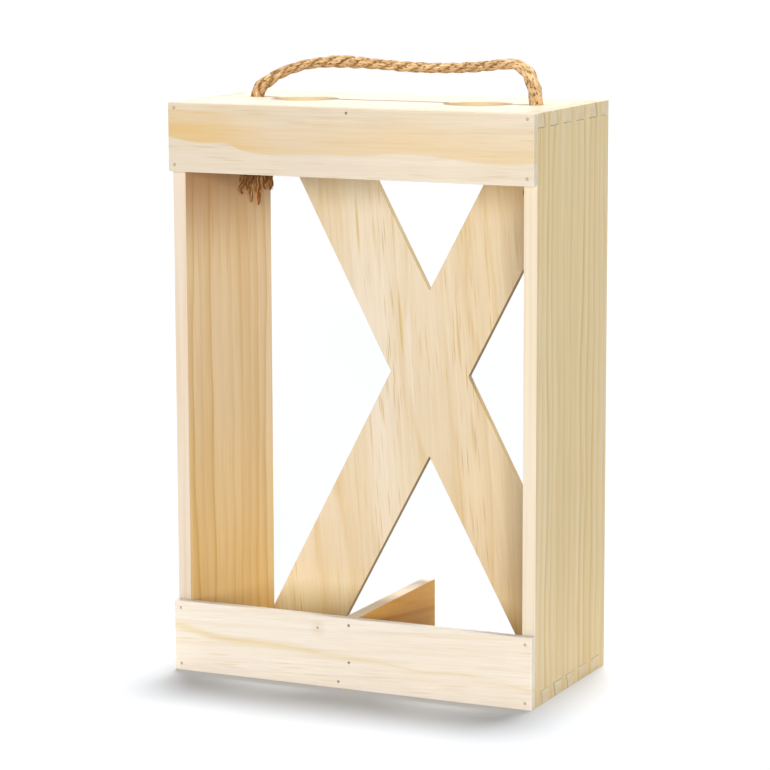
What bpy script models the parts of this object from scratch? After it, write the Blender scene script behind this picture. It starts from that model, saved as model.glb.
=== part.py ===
"""A two-bottle wine crate in pine.

Four boards are joined with through dovetails. Two rails are nailed over the
front edges and a sawn cross panel over the back edges. A low divider parts the
bottles, whose necks stand in two holes in the top board. A rope handle passes
through the top board and is knotted beneath it. Metres, +Z up. The front
faces -Y, and the origin is at the middle of the base.
"""

import math

import bmesh
import bpy
import numpy as np
from mathutils import Matrix, Vector

# Box of four dovetailed boards
CRATE_WIDTH = 0.200
CRATE_HEIGHT = 0.295
BOARD_DEPTH = 0.095
BOARD_THICKNESS = 0.007
FIT_GAP = 0.0003
CUT_OVERRUN = 0.002

# Dovetails: pins and tails share the board's depth evenly
FINGER_COUNT = 11
TAIL_FLARE = 0.0025

# Front rails
RAIL_THICKNESS = 0.0045
TOP_RAIL_HEIGHT = 0.035
BOTTOM_RAIL_HEIGHT = 0.037
ARRIS_EASE = 0.0004

# Sawn cross panel at the back
PANEL_THICKNESS = 0.0045
PANEL_EDGE_INSET = 0.002
PANEL_CORNER_FLAT = 0.0025
WAIST_HALF_WIDTH = 0.0225
NOTCH_RISE = 0.0444
ARM_END_WIDTH = 0.0435

# Divider between the bottles
DIVIDER_THICKNESS = 0.007

# Holes in the top board. A rope hole lies at a share of the way from the neck
# hole's edge to the side board.
NECK_HOLE_DIAMETER = 0.035
HOLE_EASE = 0.0005
ROPE_HOLE_DIAMETER = 0.008
ROPE_HOLE_PLACE_SHARE = 0.45
ROPE_HOLE_SETBACK = 0.004

# Rope handle: the strands open where the rope bends into its holes
ROPE_DIAMETER = 0.0056
ROPE_END_DIAMETER = 0.0074
ROPE_RISE = 0.020

# Overhand knot: two strands twisted round each other and an outer belly
KNOT_TWIST_RADIUS = 0.0034
KNOT_PITCH = 0.0137
KNOT_HALF_TURNS = 3
KNOT_BELLY_REACH = 0.0092
KNOT_SQUEEZE_SHARE = 0.82
LEFT_KNOT_TURN = 215
RIGHT_KNOT_TURN = 35
TAIL_LENGTH = 0.022
TAIL_SPREAD = 0.003

# Brads
BRAD_DIAMETER = 0.0010
BRAD_LENGTH = 0.015
BRAD_TIP = 0.0015
BRAD_POINT_SHARE = 0.5
BRAD_CLEARANCE = 0.00025
BRAD_SINK = 0.0003
RAIL_BRAD_EDGE = 0.0037
TOP_BRAD_EDGE = 0.0025
DIVIDER_BRAD_DROP = 0.023
BASE_BRAD_OFFSET = 0.006
PANEL_BRAD_EDGE = 0.0025
PANEL_BRAD_INSET = 0.009
DIVIDER_BRAD_REACH = 0.028

# Facets round a circle
NECK_HOLE_SEGMENTS = 48
ROPE_HOLE_SEGMENTS = 24
BRAD_SEGMENTS = 12
ROPE_BEVEL_RESOLUTION = 3
END_RING_ANGLES = (20, 45, 70)

# Points along a rope: slices between two route points, and steps as shares of its diameter
ROUTE_SLICES = 24
HANDLE_STEP_SHARE = 0.8
KNOT_STEP_SHARE = 0.35

# Worked out from the sizes above
HALF_WIDTH = CRATE_WIDTH / 2
HALF_DEPTH = BOARD_DEPTH / 2
INNER_HALF_WIDTH = HALF_WIDTH - BOARD_THICKNESS
RAIL_BACK = -HALF_DEPTH - FIT_GAP
RAIL_FRONT = RAIL_BACK - RAIL_THICKNESS
PANEL_FRONT = HALF_DEPTH + FIT_GAP
PANEL_BACK = PANEL_FRONT + PANEL_THICKNESS
ARM_OUTER_X = HALF_WIDTH - PANEL_EDGE_INSET
ARM_INNER_X = ARM_OUTER_X - ARM_END_WIDTH
BAY_CENTRE = (INNER_HALF_WIDTH + DIVIDER_THICKNESS / 2) / 2
NECK_HOLE_EDGE = BAY_CENTRE + NECK_HOLE_DIAMETER / 2
ROPE_HOLE_X = NECK_HOLE_EDGE + (INNER_HALF_WIDTH - NECK_HOLE_EDGE) * ROPE_HOLE_PLACE_SHARE
ROPE_RADIUS = ROPE_DIAMETER / 2
ROPE_END_RADIUS = ROPE_END_DIAMETER / 2
SWING_RISE = ROPE_END_RADIUS + FIT_GAP
SWING_AXIS = Vector((0, ROPE_HOLE_SETBACK, CRATE_HEIGHT + SWING_RISE))

# The handle's route seen from the front. Along: shares of the distance from the
# middle to a hole. Up: shares of the rise above the swing axis. Swell: shares of
# the growth from the rope's diameter to its diameter at the holes.
HANDLE_ROUTE_SHARES = (
    (-1.000, 0.00, 1.0),
    (-0.965, 0.08, 1.0),
    (-0.905, 0.29, 0.4),
    (-0.830, 0.50, 0.1),
    (-0.680, 0.76, 0.0),
    (-0.530, 0.89, 0.0),
    (-0.385, 0.94, 0.7),
    (-0.240, 0.92, 0.4),
    (-0.100, 0.88, 0.0),
    (0.045, 0.84, 0.0),
    (0.190, 0.81, 0.0),
    (0.330, 0.81, 0.0),
    (0.470, 0.84, 0.0),
    (0.610, 0.89, 0.0),
    (0.750, 0.97, 0.0),
    (0.820, 1.00, 0.0),
    (0.883, 0.95, 0.3),
    (0.932, 0.78, 0.8),
    (0.964, 0.57, 1.0),
    (0.984, 0.28, 1.0),
    (1.000, 0.00, 1.0),
)

# The knot's tail. Aside: shares of its spread. Down: shares of its length.
TAIL_ROUTE_SHARES = ((0.33, 0.33), (0.50, 0.67), (1.00, 1.00))


def clear_scene():
    """Remove every object that the open file holds."""
    for item in list(bpy.data.objects):
        bpy.data.objects.remove(item, do_unlink=True)


def make_material(name, colour, roughness, metallic=0.0):
    """Return a Principled material of one colour."""
    material = bpy.data.materials.new(name)
    material.use_nodes = True
    shader = material.node_tree.nodes["Principled BSDF"]
    shader.inputs["Base Color"].default_value = (*colour, 1.0)
    shader.inputs["Roughness"].default_value = roughness
    shader.inputs["Metallic"].default_value = metallic
    material.diffuse_color = (*colour, 1.0)
    return material


def add_object(name, data, material=None):
    """Link a new object that carries a mesh or a curve."""
    item = bpy.data.objects.new(name, data)
    bpy.context.scene.collection.objects.link(item)
    if material is not None:
        data.materials.append(material)
    return item


def finish_mesh(name, shape):
    """Turn a bmesh into a mesh whose faces point outwards."""
    bmesh.ops.recalc_face_normals(shape, faces=shape.faces)
    mesh = bpy.data.meshes.new(name)
    shape.to_mesh(mesh)
    shape.free()
    return mesh


def add_prism(shape, outline, direction):
    """Raise a flat outline of corners into a closed prism."""
    corners = [shape.verts.new(point) for point in outline]
    base = shape.faces.new(corners)
    raised = bmesh.ops.extrude_face_region(shape, geom=[base])
    moved = [part for part in raised["geom"] if isinstance(part, bmesh.types.BMVert)]
    bmesh.ops.translate(shape, verts=moved, vec=direction)


def add_turned(shape, profile, segments, place):
    """Add a closed solid of revolution: rings of (radius, height), bridged and capped."""
    rings = []
    for radius, height in profile:
        ring = bmesh.ops.create_circle(
            shape,
            cap_ends=False,
            radius=radius,
            segments=segments,
            matrix=place @ Matrix.Translation((0, 0, height)),
        )
        rings.append(list({edge for vertex in ring["verts"] for edge in vertex.link_edges}))
    walls = []
    for lower, upper in zip(rings, rings[1:]):
        walls += bmesh.ops.bridge_loops(shape, edges=lower + upper)["faces"]
    for wall in walls:
        wall.smooth = True
    for end in (rings[0], rings[-1]):
        bmesh.ops.edgeloop_fill(shape, edges=end)


def box_outline(low, high, height):
    """Return the corners of a rectangle that lies flat at a height."""
    return [
        (low[0], low[1], height),
        (high[0], low[1], height),
        (high[0], high[1], height),
        (low[0], high[1], height),
    ]


def box_mesh(name, low, high):
    """Return a rectangular block between two corners."""
    shape = bmesh.new()
    add_prism(shape, box_outline(low, high, low[2]), Vector((0, 0, high[2] - low[2])))
    return finish_mesh(name, shape)


def ease_edges(item, width):
    """Take the sharp arris off every edge."""
    bevel = item.modifiers.new("eased_arris", "BEVEL")
    bevel.width = width
    bevel.segments = 2
    bevel.limit_method = "ANGLE"


def cut_with(item, shape, label):
    """Subtract the closed bodies of a bmesh from an object."""
    cutter = add_object(f"{item.name}_{label}_cutter", finish_mesh(label, shape))
    cutter.hide_render = True
    cutter.display_type = "WIRE"
    cut = item.modifiers.new(label, "BOOLEAN")
    cut.operation = "DIFFERENCE"
    cut.solver = "EXACT"
    cut.object = cutter


def finger_line(index):
    """Return where one finger of a corner joint ends, measured at mid thickness."""
    return -HALF_DEPTH + BOARD_DEPTH * index / FINGER_COUNT


def tail_edges(index, root_growth, end_growth):
    """Return the front and back of a tail at its root and at its end.

    Growth moves each flank outwards. A tail at the board's own edge has no flank there.
    """
    front = finger_line(index)
    back = finger_line(index + 1)
    lean = TAIL_FLARE / 2
    root = [front + lean - root_growth, back - lean + root_growth]
    end = [front - lean - end_growth, back + lean + end_growth]
    if index == 0:
        root[0] = end[0] = front
    if index == FINGER_COUNT - 1:
        root[1] = end[1] = back
    return root, end


def tail_indices(tail_first):
    """Return the fingers of one corner that are tails."""
    return range(0 if tail_first else 1, FINGER_COUNT, 2)


def tail_profile(tail_first):
    """Return the toothed end of a tail board as (depth, rise), rise 0 at the root."""
    points = []
    rise = BOARD_THICKNESS + FIT_GAP
    slack = FIT_GAP / 2
    for index in tail_indices(tail_first):
        root, end = tail_edges(index, -slack, -slack)
        if index > 0:
            points.append((root[0], 0))
        points += [(end[0], rise), (end[1], rise)]
        if index < FINGER_COUNT - 1:
            points.append((root[1], 0))
    if not tail_first:
        points = [(-HALF_DEPTH, 0), *points, (HALF_DEPTH, 0)]
    return points


def make_side(name, side, material):
    """Make a side board, with tails at its foot and at its top."""
    root = BOARD_THICKNESS + FIT_GAP
    start = side * INNER_HALF_WIDTH
    foot = [(start, depth, root - rise) for depth, rise in tail_profile(True)]
    head = [(start, depth, CRATE_HEIGHT - root + rise) for depth, rise in tail_profile(False)]
    shape = bmesh.new()
    add_prism(shape, foot + head[::-1], Vector((side * BOARD_THICKNESS, 0, 0)))
    return add_object(name, finish_mesh(name, shape), material)


def cut_tail_sockets(item, outer_face, inner_face, tail_first):
    """Chop the sockets that leave the pins at both ends of a pin board."""
    slack = FIT_GAP / 2
    beyond = CUT_OVERRUN / abs(outer_face - inner_face) * (outer_face - inner_face)
    shape = bmesh.new()
    for side in (-1, 1):
        start = side * (INNER_HALF_WIDTH - FIT_GAP)
        length = side * (BOARD_THICKNESS + FIT_GAP + CUT_OVERRUN)
        for index in tail_indices(tail_first):
            lean_beyond = TAIL_FLARE * CUT_OVERRUN / BOARD_THICKNESS
            root, end = tail_edges(index, slack - lean_beyond, slack + lean_beyond)
            if index == 0:
                root[0] = end[0] = -HALF_DEPTH - CUT_OVERRUN
            if index == FINGER_COUNT - 1:
                root[1] = end[1] = HALF_DEPTH + CUT_OVERRUN
            outline = [
                (start, root[0], inner_face - beyond),
                (start, end[0], outer_face + beyond),
                (start, end[1], outer_face + beyond),
                (start, root[1], inner_face - beyond),
            ]
            add_prism(shape, outline, Vector((length, 0, 0)))
    cut_with(item, shape, "tail_sockets")


def make_pin_board(name, outer_face, inner_face, tail_first, material):
    """Make the top or the bottom board, with pins at both ends."""
    low = (-HALF_WIDTH, -HALF_DEPTH, min(outer_face, inner_face))
    high = (HALF_WIDTH, HALF_DEPTH, max(outer_face, inner_face))
    item = add_object(name, box_mesh(name, low, high), material)
    cut_tail_sockets(item, outer_face, inner_face, tail_first)
    return item


def hole_profile(radius, floor, ceiling):
    """Return the cutter of a through hole whose two rims are eased."""
    return [
        (radius + HOLE_EASE + CUT_OVERRUN, floor - CUT_OVERRUN),
        (radius, floor + HOLE_EASE),
        (radius, ceiling - HOLE_EASE),
        (radius + HOLE_EASE + CUT_OVERRUN, ceiling + CUT_OVERRUN),
    ]


def drill_top_board(item):
    """Drill the two neck holes and the two rope holes."""
    floor = CRATE_HEIGHT - BOARD_THICKNESS
    shape = bmesh.new()
    for side in (-1, 1):
        neck = hole_profile(NECK_HOLE_DIAMETER / 2, floor, CRATE_HEIGHT)
        neck_place = Matrix.Translation((side * BAY_CENTRE, 0, 0))
        add_turned(shape, neck, NECK_HOLE_SEGMENTS, neck_place)
        rope = hole_profile(ROPE_HOLE_DIAMETER / 2, floor, CRATE_HEIGHT)
        rope_place = Matrix.Translation((side * ROPE_HOLE_X, ROPE_HOLE_SETBACK, 0))
        add_turned(shape, rope, ROPE_HOLE_SEGMENTS, rope_place)
    cut_with(item, shape, "drilled_holes")


def make_rail(name, floor, height, material):
    """Make one front rail, as long as the crate is wide."""
    low = (-HALF_WIDTH, RAIL_FRONT, floor)
    high = (HALF_WIDTH, RAIL_BACK, floor + height)
    item = add_object(name, box_mesh(name, low, high), material)
    ease_edges(item, ARRIS_EASE)
    return item


def cross_outline():
    """Return the corners of the cross as (across, up) from its centre."""
    rise = CRATE_HEIGHT / 2 - PANEL_EDGE_INSET
    arm = [
        (0, NOTCH_RISE),
        (ARM_INNER_X, rise),
        (ARM_OUTER_X, rise),
        (ARM_OUTER_X, rise - PANEL_CORNER_FLAT),
    ]
    upper = arm + [(WAIST_HALF_WIDTH, 0)]
    lower = [(across, -up) for across, up in reversed(arm)]
    right = upper + lower
    left = [(-across, up) for across, up in reversed(right[1:-1])]
    return right + left


def make_cross_panel(name, material):
    """Make the cross panel from one board."""
    centre = CRATE_HEIGHT / 2
    outline = [(across, PANEL_FRONT, centre + up) for across, up in cross_outline()]
    shape = bmesh.new()
    add_prism(shape, outline, Vector((0, PANEL_THICKNESS, 0)))
    item = add_object(name, finish_mesh(name, shape), material)
    ease_edges(item, ARRIS_EASE)
    return item


def make_divider(name, material):
    """Make the divider, level with the bottom rail."""
    half = DIVIDER_THICKNESS / 2
    low = (-half, -HALF_DEPTH, BOARD_THICKNESS + FIT_GAP)
    high = (half, HALF_DEPTH, BOTTOM_RAIL_HEIGHT)
    item = add_object(name, box_mesh(name, low, high), material)
    ease_edges(item, ARRIS_EASE)
    return item


def brad_places():
    """Return each brad's head, its direction and the pieces that it passes through."""
    side_x = HALF_WIDTH - BOARD_THICKNESS / 2
    rail_y = RAIL_FRONT + BRAD_SINK
    panel_y = PANEL_BACK - BRAD_SINK
    into_front = Vector((0, 1, 0))
    into_back = Vector((0, -1, 0))
    upper = CRATE_HEIGHT - TOP_BRAD_EDGE
    lower = CRATE_HEIGHT - TOP_RAIL_HEIGHT + RAIL_BRAD_EDGE
    base = BOARD_THICKNESS / 2
    bottom_upper = BOTTOM_RAIL_HEIGHT - RAIL_BRAD_EDGE
    places = []

    def rail_brad(rail, x, z, *boards):
        places.append((rail, Vector((x, rail_y, z)), into_front, (rail, *boards)))

    for side, board in ((-1, "left_side"), (1, "right_side")):
        rail_brad("front_top_rail", side * side_x, upper, "top_board", board)
        rail_brad("front_top_rail", side * side_x, lower, board)
        rail_brad("front_bottom_rail", side * side_x, bottom_upper, board)
        rail_brad("front_bottom_rail", side * side_x, base, board, "bottom_board")
        for x in (ARM_INNER_X + PANEL_BRAD_INSET, ARM_OUTER_X - PANEL_BRAD_INSET):
            for z, pin_board in (
                (PANEL_EDGE_INSET + PANEL_BRAD_EDGE, "bottom_board"),
                (CRATE_HEIGHT - PANEL_EDGE_INSET - PANEL_BRAD_EDGE, "top_board"),
            ):
                head = Vector((side * x, panel_y, z))
                pieces = ("back_cross_panel", pin_board)
                places.append(("back_cross_panel", head, into_back, pieces))
        foot = Vector((0, side * DIVIDER_BRAD_REACH, BRAD_SINK))
        places.append(("divider", foot, Vector((0, 0, 1)), ("bottom_board", "bottle_divider")))
    rail_brad("front_top_rail", 0, upper, "top_board")
    rail_brad("front_bottom_rail", 0, bottom_upper, "bottle_divider")
    rail_brad("front_bottom_rail", 0, BOTTOM_RAIL_HEIGHT - DIVIDER_BRAD_DROP, "bottle_divider")
    rail_brad("front_bottom_rail", -BASE_BRAD_OFFSET, base, "bottom_board")
    return places


def aim(head, direction):
    """Return the placement whose local +Z runs along a brad from its head."""
    turn = Vector((0, 0, 1)).rotation_difference(direction)
    return Matrix.Translation(head) @ turn.to_matrix().to_4x4()


def make_brads(pieces, material):
    """Make the brads, and bore their holes in the pieces that they hold."""
    radius = BRAD_DIAMETER / 2
    shape = bmesh.new()
    shank_end = (radius, BRAD_LENGTH - BRAD_TIP)
    profile = [(radius, 0), shank_end, (radius * BRAD_POINT_SHARE, BRAD_LENGTH)]
    add_turned(shape, profile, BRAD_SEGMENTS, Matrix.Identity(4))
    mesh = finish_mesh("brad", shape)
    mesh.materials.append(material)
    bores = {}
    counts = {}
    for group, head, direction, held in brad_places():
        counts[group] = counts.get(group, 0) + 1
        item = add_object(f"{group}_brad_{counts[group]}", mesh)
        item.matrix_world = aim(head, direction)
        for piece in held:
            bores.setdefault(piece, []).append(aim(head, direction))
    bore_radius = radius + BRAD_CLEARANCE
    bore = [(bore_radius, -CUT_OVERRUN), (bore_radius, BRAD_LENGTH + BRAD_CLEARANCE)]
    for piece, places in bores.items():
        shape = bmesh.new()
        for place in places:
            add_turned(shape, bore, BRAD_SEGMENTS, place)
        cut_with(pieces[piece], shape, "brad_bores")


def curve_through(points, step):
    """Read evenly spaced points from a smooth curve through route points."""
    closed_in = [2 * points[0] - points[1], *points, 2 * points[-1] - points[-2]]
    fine = []
    for before, start, end, after in zip(closed_in, closed_in[1:], closed_in[2:], closed_in[3:]):
        for slot in range(ROUTE_SLICES):
            t = slot / ROUTE_SLICES
            fine.append(
                (
                    2 * start
                    + (end - before) * t
                    + (2 * before - 5 * start + 4 * end - after) * t**2
                    + (3 * start - before - 3 * end + after) * t**3
                )
                / 2
            )
    fine.append(points[-1])
    total = sum((b - a).length for a, b in zip(fine, fine[1:]))
    count = max(2, round(total / step))
    spaced = [fine[0]]
    walked = 0.0
    for a, b in zip(fine, fine[1:]):
        length = (b - a).length
        while len(spaced) < count and walked + length >= total * len(spaced) / count:
            share = (total * len(spaced) / count - walked) / length
            spaced.append(a.lerp(b, share))
        walked += length
    spaced.append(fine[-1])
    return spaced


def make_tube(name, points, radii, material):
    """Make a rope stretch: a bevelled curve with filled ends."""
    curve = bpy.data.curves.new(name, "CURVE")
    curve.dimensions = "3D"
    curve.bevel_depth = ROPE_RADIUS
    curve.bevel_resolution = ROPE_BEVEL_RESOLUTION
    curve.use_fill_caps = True
    spline = curve.splines.new("POLY")
    spline.points.add(len(points) - 1)
    for slot, point, radius in zip(spline.points, points, radii):
        slot.co = (*point, 1.0)
        slot.radius = radius / ROPE_RADIUS
    return add_object(name, curve, material)


def round_end(radius):
    """Return the places and radii that round off a tube's end like a ball."""
    angles = [math.radians(degrees) for degrees in END_RING_ANGLES]
    return [(-radius * math.cos(angle), radius * math.sin(angle)) for angle in angles]


def make_handle(name, material):
    """Make the loop of the handle. It swings about the line between its two holes."""
    rise = ROPE_RISE - SWING_RISE
    route = [Vector((ROPE_HOLE_X * along, 0, rise * up)) for along, up, _ in HANDLE_ROUTE_SHARES]
    growth = ROPE_END_RADIUS - ROPE_RADIUS
    swollen = [ROPE_RADIUS + growth * swell for _, _, swell in HANDLE_ROUTE_SHARES]
    points = curve_through(route, ROPE_DIAMETER * HANDLE_STEP_SHARE)
    places = [place.x for place in route]
    radii = [float(np.interp(point.x, places, swollen)) for point in points]
    for first, second, at_start in ((points[0], points[1], True), (points[-1], points[-2], False)):
        inwards = (second - first).normalized()
        ball = [(first + inwards * offset, radius) for offset, radius in round_end(ROPE_END_RADIUS)]
        if at_start:
            points = [point for point, _ in ball] + points
            radii = [radius for _, radius in ball] + radii
        else:
            points = points + [point for point, _ in reversed(ball)]
            radii = radii + [radius for _, radius in reversed(ball)]
    item = make_tube(name, points, radii, material)
    item.location = SWING_AXIS
    return item


def knot_route():
    """Return the knot's route points below its hole, from the board's top face down.

    The rope comes down, twists half a turn at a time round its own other strand, turns
    out into the belly, climbs, and twists down again beside the first strand.
    """
    turns = KNOT_HALF_TURNS / 2
    height = KNOT_PITCH * turns
    squeezed = ROPE_RADIUS * KNOT_SQUEEZE_SHARE
    crown = squeezed / 2
    top = -BOARD_THICKNESS - FIT_GAP - squeezed - crown
    axis = -KNOT_TWIST_RADIUS
    steps = KNOT_HALF_TURNS * 4

    def strand(phase):
        for step in range(steps + 1):
            angle = phase + 2 * math.pi * turns * step / steps
            yield Vector(
                (
                    axis + KNOT_TWIST_RADIUS * math.cos(angle),
                    KNOT_TWIST_RADIUS * math.sin(angle),
                    top - height * step / steps,
                )
            )

    belly_x = axis - KNOT_BELLY_REACH
    shoulder_x = (axis - KNOT_TWIST_RADIUS + belly_x) / 2
    sway = KNOT_TWIST_RADIUS + squeezed
    foot = top - height
    belly = [
        Vector((shoulder_x, -sway, foot - crown)),
        Vector((belly_x, -sway / 2, foot + height / 4)),
        Vector((belly_x, sway / 2, top - height / 4)),
        Vector((shoulder_x, sway, top + crown)),
    ]
    tail_start = foot - squeezed
    tail = [
        Vector((TAIL_SPREAD * aside, 0, tail_start - TAIL_LENGTH * down))
        for aside, down in TAIL_ROUTE_SHARES
    ]
    hole = [Vector((0, 0, 0)), Vector((0, 0, -BOARD_THICKNESS / 2)), Vector((0, 0, -BOARD_THICKNESS))]
    return hole + list(strand(0)) + belly + list(strand(math.pi)) + tail


def least_gap(points, radii):
    """Return the least clear distance between stretches of a tube that aren't neighbours."""
    spacing = (points[1] - points[0]).length
    apart = math.ceil(math.pi * max(radii) / spacing)
    tube = list(zip(points, radii))
    return min(
        (here - there).length - radius - other_radius
        for slot, (here, radius) in enumerate(tube)
        for there, other_radius in tube[slot + apart:]
    )


def make_knot(name, side, turn, material):
    """Make the stretch in the hole, the overhand knot under the board and the tail."""
    points = curve_through(knot_route(), ROPE_DIAMETER * KNOT_STEP_SHARE)
    squeezed = ROPE_RADIUS * KNOT_SQUEEZE_SHARE
    neck = (BOARD_THICKNESS, BOARD_THICKNESS + KNOT_TWIST_RADIUS)
    spacing = (points[1] - points[0]).length
    walked = [spacing * slot for slot in range(len(points))]
    radii = [float(np.interp(length, neck, (ROPE_END_RADIUS, squeezed))) for length in walked]
    print(name, "least gap to itself in mm:", round(least_gap(points, radii) * 1000, 2))
    item = make_tube(name, points, radii, material)
    item.location = (side * ROPE_HOLE_X, ROPE_HOLE_SETBACK, CRATE_HEIGHT)
    item.rotation_euler = (0, 0, math.radians(turn))
    return item


def main():
    """Build the crate."""
    clear_scene()
    side_pine = make_material("pine_side", (0.72, 0.55, 0.33), 0.62)
    rail_pine = make_material("pine_rail", (0.86, 0.72, 0.50), 0.60)
    panel_pine = make_material("pine_panel", (0.80, 0.64, 0.42), 0.62)
    rope = make_material("twisted_jute", (0.50, 0.34, 0.17), 0.90)
    steel = make_material("brad_steel", (0.35, 0.33, 0.31), 0.40, 1.0)
    foot_face, foot_inner = 0, BOARD_THICKNESS
    head_face, head_inner = CRATE_HEIGHT, CRATE_HEIGHT - BOARD_THICKNESS
    rail_floor = CRATE_HEIGHT - TOP_RAIL_HEIGHT
    pieces = {
        "left_side": make_side("left_side", -1, side_pine),
        "right_side": make_side("right_side", 1, side_pine),
        "bottom_board": make_pin_board("bottom_board", foot_face, foot_inner, True, side_pine),
        "top_board": make_pin_board("top_board", head_face, head_inner, False, side_pine),
        "front_bottom_rail": make_rail("front_bottom_rail", 0, BOTTOM_RAIL_HEIGHT, rail_pine),
        "front_top_rail": make_rail("front_top_rail", rail_floor, TOP_RAIL_HEIGHT, rail_pine),
        "back_cross_panel": make_cross_panel("back_cross_panel", panel_pine),
        "bottle_divider": make_divider("bottle_divider", side_pine),
    }
    drill_top_board(pieces["top_board"])
    make_brads(pieces, steel)
    make_handle("rope_handle", rope)
    make_knot("rope_knot_left", -1, LEFT_KNOT_TURN, rope)
    make_knot("rope_knot_right", 1, RIGHT_KNOT_TURN, rope)


main()
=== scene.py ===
"""Two-bottle wine crate: pine by the board and a laid rope handle, in a pale studio.

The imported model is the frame. Its boards keep their shape and each gets its own
pine, its brads get darkened steel, and its plain rope solids are replaced by
three-strand rope. Metres, +Z up, front to -Y.
"""

import random
from collections import namedtuple
from math import cos, pi, radians, sin, tau

import bpy
from bpy.props import FloatProperty, FloatVectorProperty, IntProperty, PointerProperty
from mathutils import Euler, Matrix, Vector, noise


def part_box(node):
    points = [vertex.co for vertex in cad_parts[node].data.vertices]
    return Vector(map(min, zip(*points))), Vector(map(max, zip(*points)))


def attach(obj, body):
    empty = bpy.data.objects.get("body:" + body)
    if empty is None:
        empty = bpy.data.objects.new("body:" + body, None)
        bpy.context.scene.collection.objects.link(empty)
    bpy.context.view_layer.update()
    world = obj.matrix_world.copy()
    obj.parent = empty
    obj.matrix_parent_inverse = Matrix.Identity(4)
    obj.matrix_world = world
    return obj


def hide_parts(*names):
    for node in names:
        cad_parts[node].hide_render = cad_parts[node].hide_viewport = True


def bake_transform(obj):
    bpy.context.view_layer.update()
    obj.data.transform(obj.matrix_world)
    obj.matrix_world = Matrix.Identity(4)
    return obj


bl_info = {
    "name": "Wine Crate",
    "version": (1, 0, 0),
    "blender": (4, 5, 0),
    "location": "View3D > Sidebar > Wine Crate",
    "description": "Dresses a pine wine crate with grain, laid rope and a studio",
    "category": "Object",
}

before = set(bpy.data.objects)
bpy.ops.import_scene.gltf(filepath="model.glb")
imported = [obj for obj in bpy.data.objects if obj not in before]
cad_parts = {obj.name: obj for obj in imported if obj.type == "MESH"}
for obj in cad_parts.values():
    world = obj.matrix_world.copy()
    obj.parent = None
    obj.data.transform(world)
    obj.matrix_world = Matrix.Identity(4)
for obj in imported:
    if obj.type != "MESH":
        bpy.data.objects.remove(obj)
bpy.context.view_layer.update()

RIGHT, BACK, UP, DOWN = (1.0, 0.0, 0.0), (0.0, 1.0, 0.0), (0.0, 0.0, 1.0), (0.0, 0.0, -1.0)

# How each board's grain is turned to run along X
GRAIN_TURNS = {
    "X": Matrix.Identity(3),
    "Y": Matrix.Rotation(radians(-90), 3, "Z"),
    "Z": Matrix.Rotation(radians(90), 3, "Y"),
}

# Each board: its grain, where the tree's heart ran beside it (metres, across the
# grain), the lean of its grain (degrees), its ring spacing, how strong its broad tone,
# ring lines, short resin dashes and long streaks are, its pale wood, and what a cut
# across the grain does to its colour
Board = namedtuple("Board", "grain heart lean ring tone line dash streak tint cut")
BOARDS = {
    "left_side": Board(
        "Z", (-0.210, 0.060), (0.0, 0.5, 0.6), 0.0098, 0.45, 1.20, 0.10, 0.35,
        "golden", (0.96, 1.10, 1.40),
    ),
    "right_side": Board(
        "Z", (0.300, -0.130), (0.0, -0.3, 0.4), 0.0076, 0.34, 1.15, 0.12, 0.40,
        "straw", (1.12, 1.17, 1.45),
    ),
    "top_board": Board(
        "X", (0.020, 0.225), (0.0, 0.4, 0.8), 0.0085, 0.25, 0.30, 0.20, 0.20,
        "cream", (0.86, 0.83, 0.68),
    ),
    "bottom_board": Board(
        "X", (-0.015, 0.070), (0.0, 0.3, -0.7), 0.0078, 0.35, 0.60, 0.20, 0.30,
        "cream", (0.97, 0.94, 0.82),
    ),
    "bottle_divider": Board(
        "Y", (-0.045, -0.004), (0.0, -5.0, 2.0), 0.0070, 0.40, 0.80, 0.20, 0.55,
        "amber", (0.90, 0.84, 0.76),
    ),
    "front_top_rail": Board(
        "X", (-0.004, 0.318), (0.0, 0.7, 0.4), 0.0066, 0.16, 0.20, 0.40, 0.26,
        "cream", (0.90, 0.97, 1.05),
    ),
    "front_bottom_rail": Board(
        "X", (0.012, -0.052), (0.0, 3.0, 0.5), 0.0088, 0.10, 0.20, 0.30, 0.24,
        "ivory", (0.92, 0.955, 0.985),
    ),
    "back_cross_panel": Board(
        "Z", (0.118, 0.020), (0.0, 4.5, 0.0), 0.0085, 0.40, 0.60, 0.75, 0.80,
        "peach", (0.78, 0.72, 0.60),
    ),
}
SIDE_BOARDS = ("left_side", "right_side")
LEVEL_BOARDS = ("top_board", "bottom_board")

# The top rail's tan band ends at this wavy line: shares of its length and height
BAND_LINE = (
    (0.00, 0.50), (0.09, 0.43), (0.16, 0.43), (0.21, 0.34), (0.26, 0.30), (0.35, 0.30),
    (0.46, 0.32), (0.54, 0.32), (0.64, 0.38), (0.75, 0.35), (0.85, 0.29), (0.93, 0.28),
    (1.00, 0.31),
)
# The bottom rail's one long streak, the same way
STREAK_LINE = (
    (0.00, 0.65), (0.05, 0.60), (0.10, 0.55), (0.17, 0.52), (0.28, 0.52), (0.36, 0.50),
    (0.46, 0.45), (0.60, 0.42), (0.69, 0.37), (0.80, 0.40), (0.90, 0.35), (1.00, 0.27),
)
PIN_KNOT = Vector((-0.0175, -0.0523, 0.0305))
# The slanting grain on the right side's front edge: its slope, where it starts and the
# line that it ends at
EDGE_SLOPE, EDGE_START, EDGE_LINE = -6.5, 0.6945, 0.053
# The brown band of the divider: its slope, and how far below the top its back end lies
WEDGE_SLOPE, WEDGE_DROP = 0.113, 0.0155

NECK_HOLES = ((-0.0483, 0.0), (0.0483, 0.0))
NECK_REACH = 0.0185
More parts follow.
